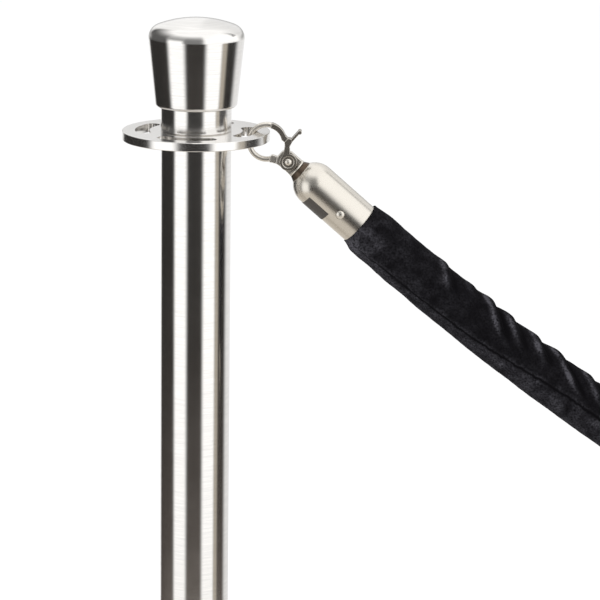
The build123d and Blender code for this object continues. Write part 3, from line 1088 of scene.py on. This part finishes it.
def wall_light(azimuth, height, top):
    """The light of the tent's wall at an azimuth and a height."""
    glow = FLAG_GLOW * max(0.0, 1 - height / FLAG_GLOW_HEIGHT) ** FLAG_GLOW_POWER
    tone = [(FLAG_LEVEL + glow) * v for v in linear(FLAG)[:3]]
    foot = 1 - PANEL_FOOT_LEVEL
    bright = PANEL_FOOT_LEVEL + foot * ramp(height, 0.0, PANEL_FOOT_HEIGHT)
    for panel in PANELS:
        level, cloth = panel[3:]
        target = [level * bright * v for v in linear(cloth)[:3]]
        tone = toward(tone, target, panel_share(azimuth, panel))
    for veil in VEILS:
        level, low, full = veil[3:]
        tone = toward(tone, [level] * 3, ramp(height, low, full) * panel_share(azimuth, veil))
    rail = ramp(abs(azimuth), *RAIL_AZIMUTHS) * bell((height - RAIL_HEIGHT) / RAIL_HALF)
    tone = toward(tone, [RAIL_LEVEL] * 3, rail)
    stand = ramp(abs(azimuth - STAND_AZIMUTH), 2 * STAND_HALF, STAND_HALF)
    tone = toward(tone, [STAND_LEVEL] * 3, stand * ramp(height, *STAND_HEIGHTS))
    return toward(tone, [CLEAR_LEVEL] * 3, ramp(height, CLEAR_FROM, top))


def tent_outline(settings):
    """The tent's section, from the paper's inner edge up the wall to the ceiling's middle, as
    reach and height and which part it is."""
    wall, top = settings.tent_radius, settings.tent_height
    outline = [
        (SKIRT_INNER + (wall - SKIRT_INNER) * step / SKIRT_STEPS, SKIRT_LIFT, "skirt")
        for step in range(SKIRT_STEPS)
    ]
    outline.append((wall - SKIRT_EDGE, SKIRT_LIFT, "skirt"))
    outline += [
        (wall, SKIRT_LIFT + (top - SKIRT_LIFT) * step / WALL_STEPS, "wall")
        for step in range(WALL_STEPS + 1)
    ]
    outline += [
        (wall * (1 - step / CEILING_STEPS), top, "ceiling") for step in range(1, CEILING_STEPS)
    ]
    return outline


def make_tent(settings):
    """The wall of panels with its ceiling, as a mesh whose points hold their light."""
    mesh = bmesh.new()
    light = mesh.verts.layers.float_color.new("light")
    grid = []
    for reach, height, part in tent_outline(settings):
        ring = []
        for column in range(TENT_COLUMNS):
            azimuth = column * 360.0 / TENT_COLUMNS - 180.0
            turn = math.radians(azimuth)
            vertex = mesh.verts.new((reach * math.sin(turn), -reach * math.cos(turn), height))
            if part == "skirt":
                tone = [SKIRT_LEVEL * v for v in linear(SKIRT)[:3]]
            elif part == "wall":
                tone = wall_light(azimuth, height, settings.tent_height)
            else:
                tone = [CLEAR_LEVEL] * 3
            vertex[light] = (*tone, 1.0)
            ring.append(vertex)
        grid.append(ring)
    for below, above in zip(grid, grid[1:]):
        for a, b, c, d in zip(below, below[1:] + below[:1], above[1:] + above[:1], above):
            mesh.faces.new((a, b, c, d))
    data = bpy.data.meshes.new("light_tent")
    mesh.to_mesh(data)
    mesh.free()
    return bpy.data.objects.new("light_tent", data)


def glowing_cloth():
    """Lit diffusion cloth and black flags, seen only as reflections."""
    material, tree = new_material("diffusion_cloth")
    light = add_node(tree, "ShaderNodeAttribute", {"attribute_name": "light"})
    cloth = add_node(
        tree,
        "ShaderNodeBsdfPrincipled",
        base_color=linear("000000"),
        emission_color=light.outputs["Color"],
        emission_strength=1.0,
    )
    add_node(tree, "ShaderNodeOutputMaterial", surface=cloth.outputs[0])
    material.cycles.emission_sampling = "NONE"
    return material


def matt_floor(settings):
    """White background paper: matt, with a faint tooth."""
    material, tree = new_material("white_background_paper")
    tint = add_node(
        tree,
        "ShaderNodeMix",
        {"data_type": "RGBA"},
        factor=streaks(tree, (2.0, 2.0, 2.0)),
        _6=darker(settings.floor, 0.985),
        _7=settings.floor,
    )
    paper = add_node(
        tree,
        "ShaderNodeBsdfPrincipled",
        base_color=tint.outputs[2],
        roughness=1.0,
        specular_ior_level=0.0,
    )
    add_node(tree, "ShaderNodeOutputMaterial", surface=paper.outputs[0])
    return material


def make_floor(settings):
    """A wide round sheet of paper on the ground."""
    mesh = bmesh.new()
    centre = mesh.verts.new((0.0, 0.0, 0.0))
    rim = []
    for step in range(FLOOR_SIDES):
        turn = 2 * math.pi * step / FLOOR_SIDES
        spot = (FLOOR_RADIUS * math.cos(turn), FLOOR_RADIUS * math.sin(turn), 0.0)
        rim.append(mesh.verts.new(spot))
    for a, b in zip(rim, rim[1:] + rim[:1]):
        mesh.faces.new((centre, a, b))
    data = bpy.data.meshes.new("paper_floor")
    mesh.to_mesh(data)
    mesh.free()
    floor = bpy.data.objects.new("paper_floor", data)
    data.materials.append(matt_floor(settings))
    return floor


def hang_key_light(power):
    """A square soft light that lights the object without showing in its metal."""
    lamp = bpy.data.lights.new("key_light", "AREA")
    lamp.size = KEY_WIDTH
    lamp.energy = power
    holder = bpy.data.objects.new("key_light", lamp)
    holder.location = KEY_PLACE
    holder.rotation_mode = "QUATERNION"
    way = Vector(KEY_TARGET) - Vector(KEY_PLACE)
    holder.rotation_quaternion = way.to_track_quat("-Z", "Y")
    holder.visible_glossy = False
    holder.visible_camera = False
    bpy.context.scene.collection.objects.link(holder)


def make_camera(settings):
    """The camera in front of the post, looking a little down."""
    data = bpy.data.cameras.new("camera")
    data.sensor_width = SENSOR_WIDTH
    data.lens = settings.lens
    camera = bpy.data.objects.new("camera", data)
    look = Euler((math.pi / 2 - settings.pitch, 0.0, 0.0)).to_matrix()
    look = look @ Matrix.Rotation(settings.roll, 3, "Z")
    spot = Matrix.Translation((settings.aside, -settings.distance, settings.height))
    camera.matrix_world = spot @ look.to_4x4()
    bpy.context.scene.collection.objects.link(camera)
    bpy.context.scene.camera = camera


def make_surround(settings):
    """An even white surround."""
    world = bpy.data.worlds.new("white_surround")
    world.use_nodes = True
    tree = world.node_tree
    tree.nodes.clear()
    sky = add_node(tree, "ShaderNodeBackground", color=linear(WHITE), strength=settings.sky)
    add_node(tree, "ShaderNodeOutputWorld", surface=sky.outputs[0])
    bpy.context.scene.world = world


# ---------------------------------------------------------------- operators


class STANCHION_OT_studio(bpy.types.Operator):
    """Makes the floor, the lights, the reflected panels and the camera"""

    bl_idname = "stanchion.studio"
    bl_label = "Studio"

    def execute(self, context):
        settings = context.scene.stanchion_studio
        make_camera(settings)
        make_surround(settings)
        context.scene.view_settings.view_transform = "Standard"
        floor = make_floor(settings)
        tent = make_tent(settings)
        tent.data.materials.append(glowing_cloth())
        tent.visible_camera = False
        tent.visible_diffuse = False
        tent.visible_shadow = False
        tent.visible_transmission = False
        tent.visible_volume_scatter = False
        for piece in (floor, tent):
            context.scene.collection.objects.link(piece)
        hang_key_light(settings.key)
        return {"FINISHED"}


class STANCHION_OT_velvet_cover(bpy.types.Operator):
    """Makes the rope's velvet cover, sewn along its lower front and drawn over both ferrules"""

    bl_idname = "stanchion.velvet_cover"
    bl_label = "Velvet cover"

    def execute(self, context):
        cover, line = make_cover(context.scene.stanchion_cover)
        cover.data.materials.append(black_velvet(context.scene.stanchion_soft))
        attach(cover, "rope")
        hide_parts("rope_cover")
        on_rope = ["near_ferrule_label", "rope_core"]
        for end in END_SLOPES:
            on_rope += [end + "_" + part for part in (*BRIGHT_PARTS, *CONE_PARTS)]
            on_rope += [end + "_" + part for part in ("trigger", "trigger_spring", "ferrule")]
        return {"FINISHED"}


class STANCHION_OT_post_finish(bpy.types.Operator):
    """Finishes the crown, the tube, the ring plate and what holds them together"""

    bl_idname = "stanchion.post_finish"
    bl_label = "Post and crown"

    def execute(self, context):
        metal = context.scene.stanchion_metal
        give(ROUND_STEEL_NODES, round_brushed_stainless(metal))
        give(("ring_plate",), flat_brushed_stainless(metal))
        give(ZINC_NODES, zinc_plate(metal))
        return {"FINISHED"}


class STANCHION_OT_base_finish(bpy.types.Operator):
    """Finishes the spun cover, the cast weight and the rubber floor ring"""

    bl_idname = "stanchion.base_finish"
    bl_label = "Base"

    def execute(self, context):
        metal = context.scene.stanchion_metal
        give(("base_cover",), spun_stainless(metal))
        give(("base_weight",), cast_iron(metal))
        give(("floor_ring",), moulded_rubber(context.scene.stanchion_soft))
        return {"FINISHED"}


class STANCHION_OT_rope_end_finish(bpy.types.Operator):
    """Finishes the snap hooks, the ferrules, the label and the rope's core"""

    bl_idname = "stanchion.rope_end_finish"
    bl_label = "Hooks and ferrules"

    def execute(self, context):
        metal = context.scene.stanchion_metal
        soft = context.scene.stanchion_soft
        # The bright nickel is also the painted highlight on every casting's edges; the shade tone is
        # painted shade.
        bright, shade_tone = metal.bright_nickel, metal.recess_shade
        casting = nickel_casting(
            "bright_nickel_casting", bright, bright, shade_tone, unshaded_from=0.3
        )
        # The triggers are the same nickel given a darker copy of it: painted shade on their flat
        # faces.
        lever = nickel_casting(
            "dull_nickel_casting", metal.dull_nickel, bright, shade_tone, unshaded_from=0.4
        )
        # The swivel pins and ferrule collars sit in narrow gaps: painted shade over all their faces,
        # with the painted highlight on their edges.
        cone = nickel_casting(
            "tarnished_nickel_casting", shade_tone, bright, shade_tone, unshaded_from=0.4
        )
        wire = spring_steel()
        for end, slope in END_SLOPES.items():
            give([end + "_" + part for part in BRIGHT_PARTS], casting)
            give((end + "_trigger",), lever)
            give([end + "_" + part for part in CONE_PARTS], cone)
            give((end + "_trigger_spring",), wire)
            cup = satin_nickel(metal, slope, "satin_nickel_" + end)
            give((end + "_ferrule",), cup)
        give(("near_ferrule_label",), label_film(soft))
        give(("rope_core",), cotton_rope(soft))
        return {"FINISHED"}


class STANCHION_PT_panel(bpy.types.Panel):
    """The stanchion's pieces and settings"""

    bl_idname = "STANCHION_PT_panel"
    bl_label = "Stanchion"
    bl_space_type = "VIEW_3D"
    bl_region_type = "UI"
    bl_category = "Stanchion"

    def draw(self, context):
        for operator in OPERATORS:
            self.layout.operator(operator.bl_idname)
        for name in SETTINGS:
            box = self.layout.box()
            group = getattr(context.scene, name)
            for prop in group.bl_rna.properties:
                if prop.identifier not in ("rna_type", "name"):
                    box.prop(group, prop.identifier)


SETTINGS = {
    "stanchion_cover": CoverSettings,
    "stanchion_metal": MetalSettings,
    "stanchion_soft": SoftSettings,
    "stanchion_studio": StudioSettings,
}
OPERATORS = (
    STANCHION_OT_studio,
    STANCHION_OT_velvet_cover,
    STANCHION_OT_post_finish,
    STANCHION_OT_base_finish,
    STANCHION_OT_rope_end_finish,
)


def register():
    for name, group in SETTINGS.items():
        bpy.utils.register_class(group)
        setattr(bpy.types.Scene, name, PointerProperty(type=group))
    for operator in OPERATORS:
        bpy.utils.register_class(operator)
    bpy.utils.register_class(STANCHION_PT_panel)


def unregister():
    bpy.utils.unregister_class(STANCHION_PT_panel)
    for operator in reversed(OPERATORS):
        bpy.utils.unregister_class(operator)
    for name, group in SETTINGS.items():
        delattr(bpy.types.Scene, name)
        bpy.utils.unregister_class(group)


def main():
    register()
    bpy.ops.stanchion.studio()
    bpy.ops.stanchion.velvet_cover()
    bpy.ops.stanchion.post_finish()
    bpy.ops.stanchion.base_finish()
    bpy.ops.stanchion.rope_end_finish()
    bpy.context.view_layer.update()


if __name__ == "__main__":
    main()
